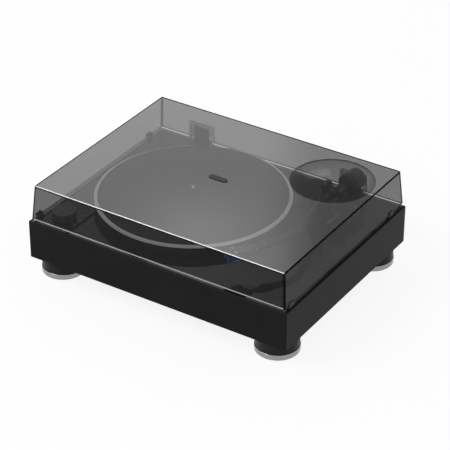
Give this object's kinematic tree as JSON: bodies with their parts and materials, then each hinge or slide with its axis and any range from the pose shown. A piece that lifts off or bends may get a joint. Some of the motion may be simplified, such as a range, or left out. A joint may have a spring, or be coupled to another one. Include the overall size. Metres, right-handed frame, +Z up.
{
  "type": "turntable",
  "caption": "Record player with a plain plinth on round feet, belt-driven platter, S-shaped arm and a smoked hinged cover with a bubble over the arm's pivot.",
  "frame": {"origin": "on the floor under the middle of the plinth", "axes": "+X to the right, +Y to the back, +Z up"},
  "size_m": [0.45, 0.344, 0.1665],
  "materials": {
    "plinth": "gloss black",
    "bottom": "satin black",
    "steel": "satin",
    "brass": "satin",
    "motor": "satin",
    "rubber": "matt",
    "foot": "satin black with a bright band",
    "platter": "gloss black with a bright bevel",
    "inner_platter": "satin",
    "mat": "fine matt",
    "board": "satin green",
    "black_plastic": "satin black",
    "white_plastic": "satin white",
    "black_metal": "satin black",
    "arm_metal": "gloss black",
    "silver": "satin",
    "gold": "polished",
    "weight": "satin black",
    "cartridge": "gloss blue",
    "leads": "coloured leads",
    "cover": "clear smoked"
  },
  "bodies": {
    "base": {"plinth": "plinth", "bottom_cover": "bottom", "bottom_screws": "steel", "machine_screws": "steel", "bearing_housing": "brass", "thrust_pad": "white_plastic", "motor": "motor", "drive_belt": "rubber", "speed_switch": "black_plastic", "main_board": "board", "rear_panel": "black_plastic", "output_sockets": "gold", "power_inlet": "black_plastic", "ground_post": "steel", "arm_base_plate": "black_metal", "arm_base_screws": "steel", "hinge_bases": "black_plastic", "hinge_pins": "steel"},
    "platter": {"spindle": "steel", "inner_platter": "inner_platter", "platter": "platter", "platter_mat": "mat"},
    "pulley": {"motor_pulley": "brass"},
    "speed_knob": {"switch_shaft": "steel", "speed_knob": "arm_metal"},
    "line_switch": {"line_switch": "white_plastic"},
    "ground_nut": {"ground_nut": "gold"},
    "height_lock": {"height_lock": "black_metal"},
    "height_ring": {"height_ring": "black_metal"},
    "arm_board": {"arm_board": "black_metal", "cue_cylinder": "black_metal", "cue_block": "black_plastic", "arm_rest": "black_plastic"},
    "cue_lift": {"cue_lift": "black_plastic"},
    "cue_lever": {"cue_lever": "silver"},
    "rest_clip": {"rest_clip": "black_plastic"},
    "anti_skate_dial": {"anti_skate_dial": "black_metal"},
    "arm_yoke": {"arm_yoke": "black_metal", "pivot_screws": "gold"},
    "tonearm": {"arm_block": "black_metal", "block_screw": "gold", "arm_tube": "arm_metal", "headshell": "black_metal", "cartridge_screws": "steel", "cartridge": "cartridge", "stylus": "white_plastic", "headshell_leads": "leads"},
    "locking_collar": {"locking_collar": "silver"},
    "counterweight": {"counterweight": "weight"},
    "force_dial": {"force_dial": "silver"},
    "cover": {"dust_cover": "cover", "cover_plate": "black_plastic", "cover_bumpers": "rubber", "hinge_pockets": "cover", "hinge_leaves": "black_plastic"},
    "foot_front_left": {"foot_front_left": "foot"},
    "foot_front_right": {"foot_front_right": "foot"},
    "foot_rear_left": {"foot_rear_left": "foot"},
    "foot_rear_right": {"foot_rear_right": "foot"}
  },
  "joints": [
    {"name": "platter_spin", "type": "hinge", "parent": "base", "child": "platter", "pos_m": [-0.0465, 0.003, 0.1], "axis": [0, 0, 1], "continuous": true},
    {"name": "pulley_spin", "type": "hinge", "parent": "base", "child": "pulley", "pos_m": [-0.13825, -0.06124, 0.09], "axis": [0, 0, 1], "continuous": true},
    {"name": "speed_knob_turn", "type": "hinge", "parent": "base", "child": "speed_knob", "pos_m": [-0.187, -0.133, 0.095], "axis": [0, 0, 1], "range_deg": [0, 58]},
    {"name": "line_switch_slide", "type": "slide", "parent": "base", "child": "line_switch", "axis": [1, 0, 0], "range_m": [0, 0.004]},
    {"name": "ground_nut_turn", "type": "hinge", "parent": "base", "child": "ground_nut", "pos_m": [-0.094, 0.162, 0.05025], "axis": [0, 1, 0], "range_deg": [0, 360]},
    {"name": "foot_front_left_turn", "type": "hinge", "parent": "base", "child": "foot_front_left", "pos_m": [-0.1897, -0.1367, 0.028], "axis": [0, 0, 1], "range_deg": [0, 360]},
    {"name": "foot_front_right_turn", "type": "hinge", "parent": "base", "child": "foot_front_right", "pos_m": [0.1897, -0.1367, 0.028], "axis": [0, 0, 1], "range_deg": [0, 360]},
    {"name": "foot_rear_left_turn", "type": "hinge", "parent": "base", "child": "foot_rear_left", "pos_m": [-0.1897, 0.1367, 0.028], "axis": [0, 0, 1], "range_deg": [0, 360]},
    {"name": "foot_rear_right_turn", "type": "hinge", "parent": "base", "child": "foot_rear_right", "pos_m": [0.1897, 0.1367, 0.028], "axis": [0, 0, 1], "range_deg": [0, 360]},
    {"name": "height_lock_turn", "type": "hinge", "parent": "base", "child": "height_lock", "pos_m": [0.163, 0.06492, 0.097], "axis": [0, 0, 1], "range_deg": [0, 60]},
    {"name": "height_ring_turn", "type": "hinge", "parent": "base", "child": "height_ring", "pos_m": [0.1465, 0.0935, 0.099], "axis": [0, 0, 1], "range_deg": [0, 270]},
    {"name": "arm_height", "type": "slide", "parent": "base", "child": "arm_board", "axis": [0, 0, 1], "range_m": [0, 0.003]},
    {"name": "anti_skate_turn", "type": "hinge", "parent": "arm_board", "child": "anti_skate_dial", "pos_m": [0.1765, 0.0905, 0.112], "axis": [0, 0, 1], "range_deg": [0, 270]},
    {"name": "rest_clip_fold", "type": "hinge", "parent": "arm_board", "child": "rest_clip", "pos_m": [0.14947, 0.0493, 0.1352], "axis": [0, -1, 0], "range_deg": [0, 90]},
    {"name": "arm_yaw", "type": "hinge", "parent": "arm_board", "child": "arm_yoke", "pos_m": [0.1465, 0.0935, 0.129], "axis": [0, 0, -1], "range_deg": [0, 40]},
    {"name": "arm_pitch", "type": "hinge", "parent": "arm_yoke", "child": "tonearm", "pos_m": [0.1465, 0.0935, 0.129], "axis": [-0.9925, 0.1219, 0], "range_deg": [0, 2]},
    {"name": "cue_lever_turn", "type": "hinge", "parent": "arm_board", "child": "cue_lever", "pos_m": [0.17, 0.0615, 0.1146], "axis": [-1, 0, 0], "range_deg": [0, 56]},
    {"name": "cue_lift_rise", "type": "slide", "parent": "arm_board", "child": "cue_lift", "axis": [0, 0, 1], "range_m": [0, 0.0013]},
    {"name": "locking_collar_turn", "type": "hinge", "parent": "tonearm", "child": "locking_collar", "pos_m": [0.13318, -0.08775, 0.129], "axis": [-0.5446, -0.8387, 0], "range_deg": [0, 60]},
    {"name": "counterweight_travel", "type": "slide", "parent": "tonearm", "child": "counterweight", "axis": [0.1219, 0.9925, 0], "range_m": [-0.003, 0.003]},
    {"name": "force_dial_turn", "type": "hinge", "parent": "counterweight", "child": "force_dial", "pos_m": [0.15198, 0.13817, 0.129], "axis": [0.1219, 0.9925, 0], "range_deg": [-435, 435]},
    {"name": "cover_tilt", "type": "hinge", "parent": "base", "child": "cover", "pos_m": [0, 0.1675, 0.0952], "axis": [-1, 0, 0], "range_deg": [0, 60]}
  ],
  "couplings": [
    {"joint": "pulley_spin", "follows": "platter_spin", "ratio": 11.429},
    {"joint": "height_ring_turn", "follows": "arm_height", "rad_per_m": 1570.8},
    {"joint": "cue_lever_turn", "follows": "arm_pitch", "ratio": 27.5},
    {"joint": "cue_lift_rise", "follows": "arm_pitch", "m_per_rad": 0.036},
    {"joint": "force_dial_turn", "follows": "counterweight_travel", "rad_per_m": 2513.3}
  ]
}
